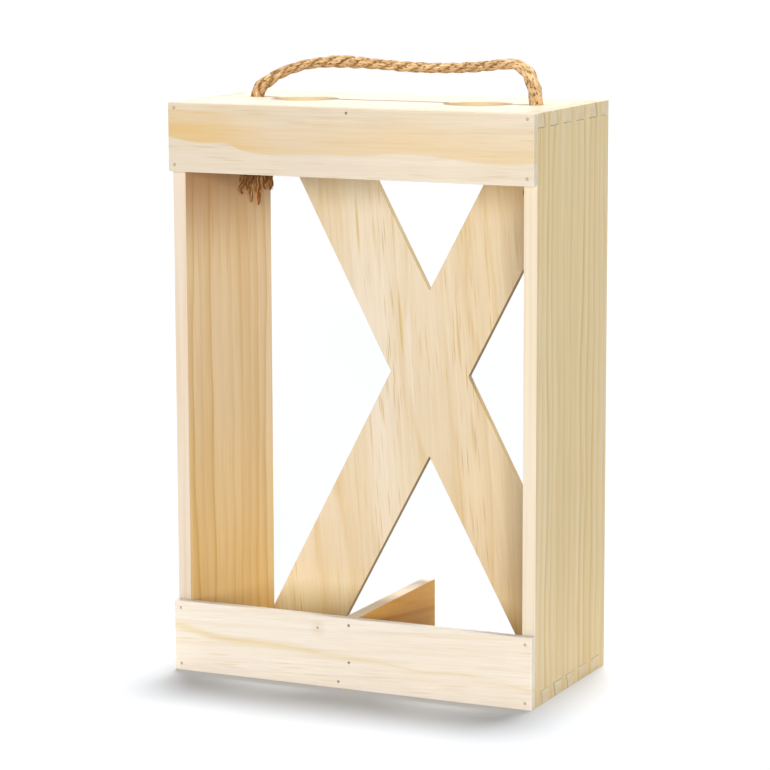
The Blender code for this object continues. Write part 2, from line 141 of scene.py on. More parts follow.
# The dovetails' shoulders: how far from the middle height they lie on the side boards,
# how far from the middle on the top and bottom boards, and how far a shoulder reaches
MIDDLE_HEIGHT, SIDE_SHOULDER, LEVEL_SHOULDER, SHOULDER_REACH = 0.1475, 0.1405, 0.0970, 0.0036
# From the middle height to the joints' outer band and to the crate's outer faces
JOINT_BAND, OUTER_FACE = 0.1403, 0.1440
# Flanks of the right side's dovetails that stand a little open: how far along the
# slope's normal each lies, and how dark it is
FLANK_NORMAL = (0.0, 0.942, 0.336)
OPEN_FLANKS = (
    (0.06134, 0.60), (0.07760, 0.45), (0.12642, 0.65), (-0.03538, 0.45), (-0.01911, 0.75),
    (-0.00285, 0.55),
)
# The brads nearest the corners lie further than this from the middle
CORNER_BRAD = 0.09

# The loop's centreline from inside one hole to inside the other: (x, z) and the
# rope's radius there, at the depth of the rope holes
ROPE_DEPTH = 0.004
HOLE_X = 0.0780125
TOP_HEIGHT = 0.295
LOOP_ROUTE = (
    (-0.0780, 0.2915, 0.00370), (-0.0780, 0.2950, 0.00370), (-0.0772, 0.2982, 0.00370),
    (-0.0748, 0.3008, 0.00365), (-0.0706, 0.3036, 0.00325), (-0.0648, 0.3070, 0.00290),
    (-0.0530, 0.3112, 0.00280), (-0.0413, 0.3132, 0.00282), (-0.0300, 0.3140, 0.00338),
    (-0.0187, 0.3137, 0.00315), (-0.0078, 0.3131, 0.00282), (0.0035, 0.3124, 0.00280),
    (0.0148, 0.3120, 0.00278), (0.0257, 0.3120, 0.00275), (0.0367, 0.3124, 0.00278),
    (0.0476, 0.3132, 0.00280), (0.0585, 0.3145, 0.00282), (0.0640, 0.3149, 0.00290),
    (0.0689, 0.3142, 0.00308), (0.0727, 0.3115, 0.00350), (0.0752, 0.3081, 0.00370),
    (0.0768, 0.3035, 0.00370), (0.0779, 0.2990, 0.00375), (0.0780, 0.2950, 0.00375),
    (0.0780, 0.2915, 0.00370),
)

# The left tail comes apart into yarns: where each ends, and its radius at the root
LEFT_YARNS = (
    (-0.0856, 0.0010, 0.2440, 0.00165), (-0.0872, 0.0050, 0.2492, 0.00115),
    (-0.0838, 0.0042, 0.2452, 0.00150), (-0.0812, 0.0015, 0.2398, 0.00130),
    (-0.0800, 0.0060, 0.2440, 0.00130), (-0.0776, 0.0032, 0.2402, 0.00120),
    (-0.0764, 0.0012, 0.2388, 0.00135), (-0.0752, 0.0064, 0.2462, 0.00140),
    (-0.0732, 0.0028, 0.2468, 0.00150), (-0.0718, 0.0055, 0.2462, 0.00145),
    (-0.0704, 0.0030, 0.2515, 0.00120),
)
RIGHT_YARNS = (
    (0.0812, 0.0070, 0.2455, 0.00140), (0.0786, 0.0090, 0.2418, 0.00130),
    (0.0752, 0.0052, 0.2432, 0.00135), (0.0776, 0.0036, 0.2404, 0.00130),
    (0.0800, 0.0012, 0.2440, 0.00130), (0.0741, 0.0018, 0.2462, 0.00125),
)
# How far apart the rings of the loop, the knots and the loose yarns lie, the length in
# which a loose yarn goes round once, and the length that counts as 1 in the pattern
LOOP_STEP, KNOT_STEP, YARN_STEP, YARN_TWIST, PATTERN_LENGTH = 0.0007, 0.0006, 0.0005, 0.011, 0.01
# The strands draw apart from the thinner of these radii on, and fully within this much
SLIM_RADIUS, SWELL_REACH = 0.0028, 0.0009
YARN_HAIRS, HAIR_RADIUS, STRAY_RADIUS = 34, 0.00014, 0.00005
FIRST_SIDE, FIRST_TURN = Vector((0, 1, 0)), 0.4

# The camera, fitted to the photograph: its turn, drop and roll, its place, its focal
# length in millimetres, and its shift as a share of the picture
CAMERA_ANGLES = (24.993, 9.3898, -0.1815)
CAMERA_PLACE = (0.66199, -1.42972, 0.41042)
CAMERA_LENS, CAMERA_SHIFT = 144.956, (0.00205, -0.00251)
# Each soft light: its bearing from the front, its height and its spread, in degrees
LIGHTS = {"front": (25, 9, 12), "top": (188, 81, 10), "back": (219, 9, 40)}
# How much more the room's light comes from the right, from behind and from above, and
# how bright the room behind the floor looks
ROOM_LEAN, BACKDROP_LEVEL = (0.40, 0.25, 0.15), 1.1


def length_setting(name, description, default, least):
    """Return a setting for a length."""
    return FloatProperty(
        name=name, description=description, default=default, min=least, unit="LENGTH"
    )


def colour_setting(name, description, default):
    """Return a setting for a colour."""
    return FloatVectorProperty(
        name=name, description=description, default=default, subtype="COLOR"
    )


def light_setting(name, description, default):
    """Return a setting for the strength of a light."""
    return FloatProperty(name=name, description=description, default=default, min=0.0)


class RopeSettings(bpy.types.PropertyGroup):
    """Sizes and colours of the rope."""

    lay_length: length_setting(
        "Lay length", "Length of rope in which a strand goes round once", 0.025, 0.01
    )
    yarn_length: length_setting(
        "Yarn twist", "Length in which the yarns of a strand go round once", 0.016, 0.004
    )
    stray_fibres: IntProperty(
        name="Stray fibres", description="Fibres that stand off the loop", default=260, min=0
    )
    light_fibre: colour_setting(
        "Light fibre", "Colour of the rope's outer fibres", (0.70, 0.455, 0.212)
    )
    # Colour of dark fibres, and of the painted shade between the strands
    dark_fibre_and_seam_shade: colour_setting("Dark fibre", "Colour between the strands", (0.20, 0.076, 0.014))


class PineSettings(bpy.types.PropertyGroup):
    """Colours of the pine."""

    ivory: colour_setting("Ivory pine", "Pale wood of the bottom rail", (0.86, 0.77, 0.66))
    cream: colour_setting(
        "Cream pine", "Pale wood of the top rail, the top and the bottom", (0.80, 0.70, 0.57)
    )
    straw: colour_setting("Straw pine", "Pale wood of the right side", (0.72, 0.588, 0.358))
    golden: colour_setting("Golden pine", "Pale wood of the left side", (0.83, 0.64, 0.40))
    amber: colour_setting("Amber pine", "Pale wood of the divider", (0.76, 0.44, 0.115))
    peach: colour_setting("Peach pine", "Pale wood of the cross panel", (0.79, 0.675, 0.52))
    late_wood: colour_setting(
        "Late wood", "Colour that the bands and stains tend to", (0.70, 0.46, 0.17)
    )
    resin: colour_setting("Resin", "Colour of the pin knot", (0.46, 0.25, 0.085))


class StudioSettings(bpy.types.PropertyGroup):
    """Sizes and strengths of the studio."""

    floor_width: length_setting("Floor width", "Width of the pale floor", 60.0, 1.0)
    front_strength: light_setting(
        "Front light", "Strength of the soft light from the camera's side", 2.1
    )
    top_strength: light_setting("Top light", "Strength of the soft light from overhead", 3.05)
    back_strength: light_setting(
        "Back light", "Strength of the soft light from behind on the left", 1.1
    )
    room_strength: light_setting("Room light", "Strength of the light from all around", 0.30)


class Nodes:
    """A node tree whose nodes are laid out one at a time."""

    def __init__(self, tree):
        self.tree = tree

    def add(self, kind, sockets=(), **settings):
        """Add a node, set its values and link what is given as a socket."""
        node = self.tree.nodes.new(kind)
        for name, value in settings.items():
            setattr(node, name, value)
        if not isinstance(sockets, dict):
            sockets = dict(enumerate(sockets))
        for name, value in sockets.items():
            if isinstance(value, bpy.types.NodeSocket):
                self.tree.links.new(value, node.inputs[name])
            else:
                node.inputs[name].default_value = value
        return node

    def sum(self, operation, *values):
        """Return one step of arithmetic."""
        return self.add("ShaderNodeMath", values, operation=operation).outputs[0]

    def line(self, value, slope, start):
        """Return a value times a slope, plus a start."""
        return self.sum("MULTIPLY_ADD", value, slope, start)

    def times(self, first, second):
        """Return the product of two values."""
        return self.sum("MULTIPLY", first, second)

    def rest(self, share):
        """Return what a share leaves of 1."""
        return self.sum("SUBTRACT", 1.0, share)

    def off(self, value, centre):
        """Return how far a value lies from another, either way."""
        return self.sum("ABSOLUTE", self.sum("SUBTRACT", value, centre))

    def vector(self, operation, *values):
        """Return one step of vector arithmetic."""
        node = self.add("ShaderNodeVectorMath", values, operation=operation)
        one_number = operation in ("DOT_PRODUCT", "DISTANCE", "LENGTH")
        return node.outputs["Value" if one_number else "Vector"]

    def ramp(self, value, low, high, first=0.0, last=1.0, kind="LINEAR"):
        """Return a value moved from one range to another."""
        sockets = (value, low, high, first, last)
        return self.add("ShaderNodeMapRange", sockets, interpolation_type=kind).outputs[0]

    def between(self, value, low, high):
        """Return how far a value lies between two others, eased, from 0 to 1."""
        return self.ramp(value, low, high, kind="SMOOTHSTEP")

    def fading(self, value, low, high):
        """Return how far a value still is from the higher of two others, from 1 to 0."""
        return self.rest(self.between(value, low, high))

    def mix(self, share, first, second, blend="MIX"):
        """Return a mixture of two colours."""
        sockets = {0: share}
        for slot, colour in ((6, first), (7, second)):
            linked = isinstance(colour, bpy.types.NodeSocket)
            sockets[slot] = colour if linked else (*colour, 1.0)
        node = self.add("ShaderNodeMix", sockets, data_type="RGBA", blend_type=blend)
        return node.outputs[2]

    def tint(self, colour, by, share=1.0):
        """Return a colour multiplied by another, by a share."""
        return self.mix(share, colour, by, "MULTIPLY")

    def stretched(self, place, scale):
        """Return a place stretched along its axes."""
        return self.add("ShaderNodeMapping", {"Vector": place, "Scale": scale}).outputs[0]

    def noise(self, place, scale, detail=2.0, spread=0.5, output="Fac"):
        """Return noise read at a place, which is stretched first."""
        sockets = {"Vector": self.stretched(place, scale), "Scale": 1.0, "Detail": detail}
        return self.add("ShaderNodeTexNoise", {**sockets, "Roughness": spread}).outputs[output]


class Look(Nodes):
    """A material, with the place and the facing that its pattern reads."""

    def __init__(self, name, values):
        self.material = bpy.data.materials.new(name)
        self.material.use_nodes = True
        super().__init__(self.material.node_tree)
        self.shader = self.tree.nodes["Principled BSDF"]
        for socket, value in values.items():
            self.shader.inputs[socket].default_value = value
        coordinates = self.add("ShaderNodeTexCoord")
        self.place = coordinates.outputs["Object"]
        self.normal = coordinates.outputs["Normal"]
        self.x, self.y, self.z = self.add("ShaderNodeSeparateXYZ", [self.place]).outputs

    def facing(self, axis, low, high):
        """Return how squarely the surface faces an axis, either way, from 0 to 1."""
        along = self.vector("DOT_PRODUCT", self.normal, axis)
        return self.between(self.sum("ABSOLUTE", along), low, high)

    def towards(self, axis, low, high):
        """Return how squarely the surface faces a direction, from 0 to 1."""
        return self.between(self.vector("DOT_PRODUCT", self.normal, axis), low, high)

    def link(self, value, socket):
        """Link a value to the shader."""
        self.tree.links.new(value, self.shader.inputs[socket])

    def relief(self, height, depth, strength=1.0):
        """Give the surface a fine relief."""
        sockets = {"Height": height, "Distance": depth, "Strength": strength}
        self.link(self.add("ShaderNodeBump", sockets).outputs[0], "Normal")


def grain_place(look, board):
    """Return the place in the board with the grain along X and the tree's heart at 0."""
    lean = Euler([radians(angle) for angle in board.lean]).to_matrix()
    turn = (lean @ GRAIN_TURNS[board.grain]).to_euler("XYZ")
    across, up = board.heart
    sockets = {"Vector": look.place, "Rotation": turn, "Location": (0.0, -across, -up)}
    return look.add("ShaderNodeMapping", sockets).outputs[0]


def ring_lines(look, place, board):
    """Return the late wood of the rings: 0 between them and up to 1 at each line."""
    drift = look.noise(place, (7.0, 26.0, 26.0), 2.0, 0.5, "Color")
    shift = look.vector("SUBTRACT", drift, (0.5, 0.5, 0.5))
    waved = look.vector("MULTIPLY_ADD", shift, (0.0, 0.018, 0.018), place)
    reach = look.vector("LENGTH", look.vector("MULTIPLY", waved, (0.0, 1.0, 1.0)))
    count = look.sum("DIVIDE", reach, board.ring)
    year = look.sum("FLOOR", count)
    season = look.sum("FRACT", count)
    line = look.times(look.sum("POWER", season, 2.6), look.fading(season, 0.88, 1.0))
    vigour = look.add("ShaderNodeTexWhiteNoise", {"W": year}, noise_dimensions="1D")
    weight = look.line(vigour.outputs["Value"], 0.80, 0.20)
    return look.times(line, weight)


def dashes(look, place, scale, rarity, patch):
    """Return thin dashes along the grain, 0 to 1, gathered in patches."""
    sockets = {"Vector": look.stretched(place, scale), "Scale": 1.0}
    cells = look.add("ShaderNodeTexVoronoi", sockets)
    core = look.fading(cells.outputs["Distance"], 0.08, 0.40)
    colour = look.add("ShaderNodeSeparateColor", [cells.outputs["Color"]])
    chosen = look.between(colour.outputs[0], rarity, rarity + 0.25)
    gathered = look.between(look.noise(place, patch), 0.40, 0.62)
    return look.times(look.times(core, chosen), gathered)


def above_line(look, node, line):
    """Return how far along a board and how far above a line on it, as shares of its size."""
    low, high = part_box(node)
    along = look.ramp(look.x, low.x, high.x)
    drawn = look.add("ShaderNodeFloatCurve", {"Value": along})
    curve = drawn.mapping.curves[0]
    curve.points[0].location = line[0]
    curve.points[1].location = line[-1]
    for point in line[1:-1]:
        curve.points.new(*point)
    drawn.mapping.update()
    return along, look.sum("SUBTRACT", look.ramp(look.z, low.z, high.z), drawn.outputs[0])


def tan_band(look, node):
    """Return the broad tan band of the top rail, which ends at a wavy line."""
    along, above = above_line(look, node, BAND_LINE)
    patches = look.between(look.noise(look.place, (16.0, 16.0, 90.0)), 0.2, 0.8)
    streaks = look.between(look.noise(look.place, (9.0, 200.0, 260.0)), 0.35, 0.7)
    body = look.line(look.fading(above, 0.03, 0.62), 0.36, look.times(patches, 0.14))
    body = look.line(streaks, 0.12, body)
    left = look.line(look.fading(along, 0.05, 0.40), 0.80, 0.88)
    return look.times(look.between(above, -0.012, 0.026), look.times(body, left))


def long_streak(look, node):
    """Return the thin broken streak that slopes down along the bottom rail."""
    along, above = above_line(look, node, STREAK_LINE)
    waver = look.line(look.noise(look.place, (60.0, 60.0, 300.0)), 0.05, -0.025)
    off = look.sum("ABSOLUTE", look.sum("ADD", above, waver))
    broken = look.between(look.noise(look.place, (26.0, 26.0, 60.0)), 0.40, 0.60)
    left = look.line(look.fading(along, 0.05, 0.75), 0.32, 0.14)
    wide = look.times(look.fading(off, 0.010, 0.085), left)
    thin = look.fading(off, 0.004, 0.024)
    return look.line(thin, look.times(broken, 0.22), wide)


def pin_knot(look):
    """Return the tiny knot of the bottom rail and the stain round it."""
    reach = look.vector("DISTANCE", look.place, PIN_KNOT)
    halo = look.fading(reach, 0.0008, 0.0062)
    return look.line(halo, 0.16, look.fading(reach, 0.0003, 0.0008))


def round_spot(look, centre, near, far):
    """Return a round spot about an upright line: 1 within one reach, 0 beyond another."""
    level = look.vector("MULTIPLY", look.place, (1.0, 1.0, 0.0))
    return look.fading(look.vector("DISTANCE", level, (*centre, 0.0)), near, far)


def slanting_grain(look):
    """Return the tan grain that slants across the foot of the right side's front edge."""
    below = look.sum("ADD", look.z, look.line(look.x, EDGE_SLOPE, EDGE_START))
    body = look.fading(below, EDGE_LINE - 0.003, EDGE_LINE + 0.003)
    line = look.fading(look.off(below, EDGE_LINE), 0.0010, 0.0060)
    return look.line(line, 0.40, look.times(body, 0.22))


def dark_wedge(look, node):
    """Return the brown band that runs along the divider and widens to the back."""
    _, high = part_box(node)
    start = WEDGE_DROP - WEDGE_SLOPE * high.y - high.z
    off = look.sum("ADD", look.z, look.line(look.y, WEDGE_SLOPE, start))
    band = look.times(look.between(off, -0.0036, 0.0004), look.fading(off, 0.0006, 0.0016))
    return look.times(band, 0.62)


def painted_light_on_shoulders(look, node, wood):
    """Paint light on the shoulders of the dovetails, inside their narrow joints where shade
    falls, so that they look pale.
    """
    level = look.facing(UP, 0.90, 0.97)
    height = look.off(look.z, MIDDLE_HEIGHT)
    if node in SIDE_BOARDS:
        off = look.off(height, SIDE_SHOULDER)
    else:
        off = look.off(look.sum("ABSOLUTE", look.x), LEVEL_SHOULDER)
        level = look.times(level, look.sum("LESS_THAN", height, OUTER_FACE))
    inside = look.times(level, look.sum("LESS_THAN", off, SHOULDER_REACH))
    # Painted light: the shoulders stay pale inside the shaded joints.
    return look.mix(look.times(inside, 0.9), wood, (0.93, 0.88, 0.78))


def open_flanks(look, wood):
    """Darken the flanks of the right side's dovetails that stand a little open."""
    reach = look.vector("DOT_PRODUCT", look.place, FLANK_NORMAL)
    dark = 0.0
    for place, strength in OPEN_FLANKS:
        near = look.fading(look.off(reach, place), 0.0004, 0.0009)
        dark = look.line(near, strength, dark)
    joint = look.sum("GREATER_THAN", look.off(look.z, MIDDLE_HEIGHT), JOINT_BAND)
    face = look.times(look.towards(RIGHT, 0.8, 0.9), joint)
    return look.mix(look.times(dark, face), wood, (0.25, 0.18, 0.10))


def side_marks(look, node, wood, pine):
    """Add a side board's pale striped edges, and what only one of the two has: the right side's
    slanting grain and painted light towards its foot, the left side's duller edges, painted shade
    under the top board and painted light low on its inner face.
    """
    pale = look.mix(0.80, wood, pine.cream)
    stripes = look.between(look.noise(look.place, (420.0, 40.0, 5.0)), 0.48, 0.64)
    pale = look.mix(look.times(stripes, 0.26), pale, pine.late_wood)
    if node == "right_side":
        pale = look.mix(slanting_grain(look), pale, pine.late_wood)
        # Painted light: the right side is a little lighter towards its foot.
        wood = look.tint(wood, (1.08, 1.06, 1.04), look.fading(look.z, 0.01, 0.09))
    else:
        pale = look.tint(pale, (0.91, 0.89, 0.91))
        inner = look.towards(RIGHT, 0.5, 0.9)
        # Painted shade: the top of the inner face turns brown under the top board.
        head = look.times(look.between(look.z, 0.205, 0.268), inner)
        wood = look.mix(look.times(head, 0.85), wood, (0.36, 0.165, 0.05))
        # Painted light: the inner face is lighter and more golden towards its foot.
        foot = look.times(look.fading(look.z, 0.03, 0.16), inner)
        wood = look.tint(wood, (1.12, 1.08, 0.84), foot)
    return look.mix(look.facing(BACK, 0.70, 0.95), wood, pale)


def top_rail_marks(look, node, wood, pine):
    """Add the top rail's tan band, and dull its left part a little."""
    wood = look.tint(wood, (0.94, 0.925, 0.905))
    wood = look.mix(tan_band(look, node), wood, pine.late_wood)
    return look.tint(wood, (0.93, 0.925, 0.925), look.fading(look.x, -0.035, 0.055))


def bottom_rail_marks(look, node, wood, pine):
    """Add painted light towards the bottom rail's foot and on its upper face, and the rail's
    streak and pin knot.
    """
    # Painted light: the rail is lighter towards its foot.
    wood = look.tint(wood, (1.08, 1.07, 1.05), look.fading(look.z, 0.004, 0.034))
    wood = look.mix(long_streak(look, node), wood, (0.75, 0.56, 0.24))
    # Painted light: the upper face is pale, though the top board shades it.
    upper = look.times(look.towards(UP, 0.5, 0.9), 0.9)
    wood = look.mix(upper, wood, (0.97, 0.93, 0.87))
    return look.mix(pin_knot(look), wood, pine.resin)


def top_board_marks(look, node, wood, pine):
    """Add the tan walls of the neck holes, partly their own end grain and partly painted light,
    and a tan halo round each rope hole.
    """
    # The neck holes' walls: tan end grain, with painted light where the far wall lies in shade.
    wall = look.rest(look.facing(UP, 0.2, 0.7))
    for centre in NECK_HOLES:
        inside = round_spot(look, centre, NECK_REACH, NECK_REACH + 0.0008)
        share = look.times(wall, look.times(inside, 0.90))
        wood = look.mix(share, wood, (0.80, 0.62, 0.37))
    # A tan halo round each rope hole.
    for side in (-1, 1):
        halo = round_spot(look, (side * HOLE_X, ROPE_DEPTH), 0.0042, 0.0110)
        wood = look.mix(look.times(halo, 0.42), wood, pine.late_wood)
    return wood


def divider_marks(look, node, wood, pine):
    """Add the divider's brown band, painted light towards its front, and painted light on its
    level edges, which keeps them pale.
    """
    # Painted light: the divider is lighter towards the crate's open front.
    wood = look.tint(wood, (1.22, 1.27, 1.25), look.fading(look.y, -0.045, 0.03))
    wood = look.mix(dark_wedge(look, node), wood, (0.55, 0.24, 0.035))
    # Painted light: the level edges are pale, though they lie in shade.
    pale = look.mix(0.92, wood, (0.98, 0.88, 0.73))
    return look.mix(look.facing(UP, 0.5, 0.9), wood, pale)


def panel_marks(look, node, wood, pine):
    """Tint the cross panel's arms from left to right, paint light towards their ends where the
    crate and its rails shade them, and darken their sawn edges, with painted shade on those that
    face down.
    """
    right = look.between(look.x, -0.05, 0.05)
    wood = look.tint(wood, look.mix(right, (0.99, 1.06, 1.17), (0.965, 0.94, 0.85)))
    ahead = look.rest(look.towards(BACK, 0.3, 0.7))
    # Painted light: the arms are lighter towards their feet, where the crate shades them.
    foot = look.times(look.fading(look.z, 0.03, 0.14), ahead)
    wood = look.tint(wood, (1.11, 1.10, 1.05), foot)
    # Painted light over the bottom rail's shadow at the very foot of the arms.
    painted_light_in_rail_shadow = look.times(look.fading(look.z, 0.014, 0.044), ahead)
    wood = look.tint(wood, (1.07, 1.08, 0.97), painted_light_in_rail_shadow)
    # Painted light: the arms are lighter and more golden in the top rail's shade.
    head = look.times(look.between(look.z, 0.225, 0.262), ahead)
    painted_light_tint = look.mix(right, (1.06, 1.01, 0.87), (1.13, 1.00, 0.76))
    wood = look.tint(wood, painted_light_tint, head)
    sawn = look.tint(wood, (0.74, 0.68, 0.54))
    # Painted shade: sawn edges that face down are darker.
    painted_shade_facing_down = look.tint(wood, (0.34, 0.25, 0.11))
    sawn = look.mix(look.towards(DOWN, 0.1, 0.4), sawn, painted_shade_facing_down)
    return look.mix(look.rest(look.facing(BACK, 0.3, 0.7)), wood, sawn)


MARKS = {
    "left_side": side_marks,
    "right_side": side_marks,
    "top_board": top_board_marks,
    "bottle_divider": divider_marks,
    "front_top_rail": top_rail_marks,
    "front_bottom_rail": bottom_rail_marks,
    "back_cross_panel": panel_marks,
}


def board_marks(look, node, wood, pine):
    """Add what the boards have beyond plain pine: their joints, with painted light on the
    dovetails' shoulders, and their own marks.
    """
    if node in (*SIDE_BOARDS, *LEVEL_BOARDS):
        wood = painted_light_on_shoulders(look, node, wood)
    if node in ("right_side", *LEVEL_BOARDS):
        wood = open_flanks(look, wood)
    if node in MARKS:
        wood = MARKS[node](look, node, wood, pine)
    return wood


def scaled(colour, shares):
    """Return a colour with each part scaled by its share."""
    return tuple(value * share for value, share in zip(colour, shares))


def pine_look(node, board, pine):
    """Return one board's own pine."""
    look = Look(f"pine_of_{node}", {"Specular IOR Level": 0.30})
    place = grain_place(look, board)
    lines = look.times(ring_lines(look, place, board), board.line)
    tone = look.between(look.noise(place, (3.2, 38.0, 38.0), 3.0), 0.36, 0.74)
    depth = look.line(tone, board.tone, lines)
    threads = look.between(look.noise(place, (5.0, 420.0, 420.0), 2.0), 0.42, 0.72)
    depth = look.line(threads, 0.16, depth)
    streaks = dashes(look, place, (17.0, 330.0, 330.0), 0.45, (6.0, 40.0, 40.0))
    depth = look.line(streaks, board.streak, depth)
    held = look.add("ShaderNodeClamp", {"Value": depth}).outputs[0]
    pale = getattr(pine, board.tint)
    late = scaled(pale, (0.82, 0.69, 0.42))
    wood = look.mix(held, pale, late)
    fibre = look.noise(place, (42.0, 1900.0, 1900.0), 4.0, 0.6)
    wood = look.tint(wood, look.ramp(fibre, 0.25, 0.75, 0.91, 1.05))
    resin = dashes(look, place, (34.0, 760.0, 760.0), 0.05, (9.0, 60.0, 60.0))
    brown = scaled(late, (0.88, 0.78, 0.58))
    wood = look.mix(look.times(resin, board.dash), wood, brown)
    axis = tuple(1.0 if letter == board.grain else 0.0 for letter in "XYZ")
    end = look.facing(axis, 0.72, 0.94)
    wood = look.tint(wood, board.cut, end)
    look.link(board_marks(look, node, wood, pine), "Base Color")
    rough = look.line(fibre, 0.22, 0.46)
    look.link(look.line(end, 0.12, rough), "Roughness")
    look.relief(look.line(lines, 0.5, fibre), 0.00012, 0.7)
    return look.material


def brad_look(name, steel, bloom_colour):
    """Return the dulled steel of some brads."""
    look = Look(name, {"Metallic": 0.35})
    specks = look.noise(look.place, (2600.0, 2600.0, 2600.0), 3.0)
    bloom = look.noise(look.place, (700.0, 700.0, 700.0))
    colour = look.mix(look.between(specks, 0.35, 0.66), steel, bloom_colour)
    colour = look.mix(look.between(bloom, 0.5, 0.75), colour, bloom_colour)
    look.link(colour, "Base Color")
    look.link(look.line(specks, 0.35, 0.40), "Roughness")
    look.relief(specks, 0.00002)
    return look.material


def rope_look(name, light, dark, gleam):
    """Return jute: short fibres along the yarns, darker towards the rope's middle as painted
    shade between the strands, with painted shade on the underside and painted highlights on some
    fibres.
    """

    def part_dark(share):
        return tuple(a * (1.0 - share) + b * share for a, b in zip(light, dark))

    values = {"Roughness": 0.9, "Specular IOR Level": 0.15}
    look = Look(name, {**values, "Sheen Weight": 0.06, "Sheen Roughness": 0.6})
    worn = look.between(look.x, 0.055, 0.074)
    place = look.add("ShaderNodeUVMap", uv_map="yarn").outputs[0]
    out = look.add("ShaderNodeAttribute", attribute_name="outwardness").outputs["Fac"]
    fine = look.noise(place, (12.0, 3.0, 1.0), 3.0, 0.64)
    hairs = look.between(look.noise(place, (20.0, 2.0, 1.0), 2.0), 0.49, 0.58)
    broad = look.between(look.noise(place, (3.0, 0.9, 1.0), 2.0), 0.46, 0.66)
    sunlit = tuple(min(0.95, value * 1.20 + gleam) for value in light)
    jute = look.mix(look.between(fine, 0.37, 0.53), part_dark(0.68), light)
    jute = look.mix(look.times(hairs, 0.92), jute, sunlit)
    jute = look.mix(look.times(broad, 0.55), jute, part_dark(0.34))
    ragged = look.line(look.noise(place, (7.0, 3.0, 1.0)), 0.34, -0.17)
    seam = look.line(worn, 0.11, look.sum("ADD", out, ragged))
    # Painted shade: dark in the creases between the strands.
    jute = look.mix(look.times(look.fading(seam, 0.68, 0.94), 0.95), jute, dark)
    # Painted shade: the underside of the rope is darker.
    under = look.towards(DOWN, -0.3, 0.9)
    jute = look.mix(look.times(under, 0.50), jute, part_dark(0.55))
    jute = look.mix(look.times(worn, 0.22), jute, sunlit)
    gaps = look.fading(look.noise(place, (9.0, 4.0, 1.0), 1.0), 0.35, 0.46)
    jute = look.mix(look.times(gaps, 0.85), jute, dark)
    look.link(jute, "Base Color")
    look.relief(fine, 0.00030)
    return look.material


def spaced_along(route, step):
    """Read evenly spaced (point, value) pairs from a smooth curve through (point, value)."""
    keys = [Vector((*point, value)) for point, value in route]
    keys = [2 * keys[0] - keys[1], *keys, 2 * keys[-1] - keys[-2]]
    fine = []
    for before, start, end, after in zip(keys, keys[1:], keys[2:], keys[3:]):
        for slot in range(24):
            t = slot / 24
            bend = (2 * before - 5 * start + 4 * end - after) * t**2
            curl = (3 * start - before - 3 * end + after) * t**3
            fine.append((2 * start + (end - before) * t + bend + curl) / 2)
    fine.append(keys[-2])
    walked = [0.0]
    for a, b in zip(fine, fine[1:]):
        walked.append(walked[-1] + (b.xyz - a.xyz).length)
    count = max(2, round(walked[-1] / step))
    spaced, slot = [], 0
    for number in range(count + 1):
        target = walked[-1] * number / count
        while slot < len(fine) - 2 and walked[slot + 1] < target:
            slot += 1
        share = (target - walked[slot]) / max(1e-9, walked[slot + 1] - walked[slot])
        key = fine[slot].lerp(fine[slot + 1], min(1.0, max(0.0, share)))
        spaced.append((key.xyz.copy(), key.w))
    return spaced


def carried_frames(points, first_side):
    """Return (along, side, third) at each point, carried without twist."""
    frames = []
    side = first_side.normalized()
    for slot in range(len(points)):
        ahead = points[min(slot + 1, len(points) - 1)]
        behind = points[max(slot - 1, 0)]
        along = (ahead - behind).normalized()
        side = (side - along * side.dot(along)).normalized()
        frames.append((along, side, along.cross(side)))
    return frames


def spoke(side, third, angle):
    """Return the direction at an angle between two that stand square to each other."""
    return side * cos(angle) + third * sin(angle)


def put_in_scene(name, data):
    """Return a new object in the scene."""
    item = bpy.data.objects.new(name, data)
    bpy.context.scene.collection.objects.link(item)
    return item


class TubeMesh:
    """Vertices, faces, yarn coordinates and outwardness of closed tubes."""

    def __init__(self):
        self.vertices = []
        self.faces = []
        self.yarn = []
        self.outwardness = []

    def tube(self, rings, place_on_yarn):
        """Add one closed tube of (points, outwardness) rings."""
        sides = len(rings[0][0])
        start = len(self.vertices)
        for points, outwardness in rings:
            self.vertices += points
            self.outwardness += outwardness
        for ring in range(len(rings) - 1):
            for side in range(sides):
                following = (side + 1) % sides
                low, high = start + ring * sides, start + (ring + 1) * sides
                self.faces.append((low + side, low + following, high + following, high + side))
                corners = ((ring, side), (ring, side + 1), (ring + 1, side + 1), (ring + 1, side))
                self.yarn += [place_on_yarn(*corner) for corner in corners]
        for ring, order in ((0, -1), (len(rings) - 1, 1)):
            low = start + ring * sides
            self.faces.append(tuple(range(low, low + sides))[::order])
            self.yarn += [place_on_yarn(ring, side) for side in range(sides)]

    def finish(self, name, material):
        """Return the tubes as one smooth object."""
        mesh = bpy.data.meshes.new(name)
        mesh.from_pydata(self.vertices, [], self.faces)
        layer = mesh.uv_layers.new(name="yarn")
        layer.data.foreach_set("uv", [value for pair in self.yarn for value in pair])
        attribute = mesh.attributes.new("outwardness", "FLOAT", "POINT")
        attribute.data.foreach_set("value", self.outwardness)
        mesh.polygons.foreach_set("use_smooth", [True] * len(mesh.polygons))
        mesh.materials.append(material)
        mesh.validate()
        return put_in_scene(name, mesh)


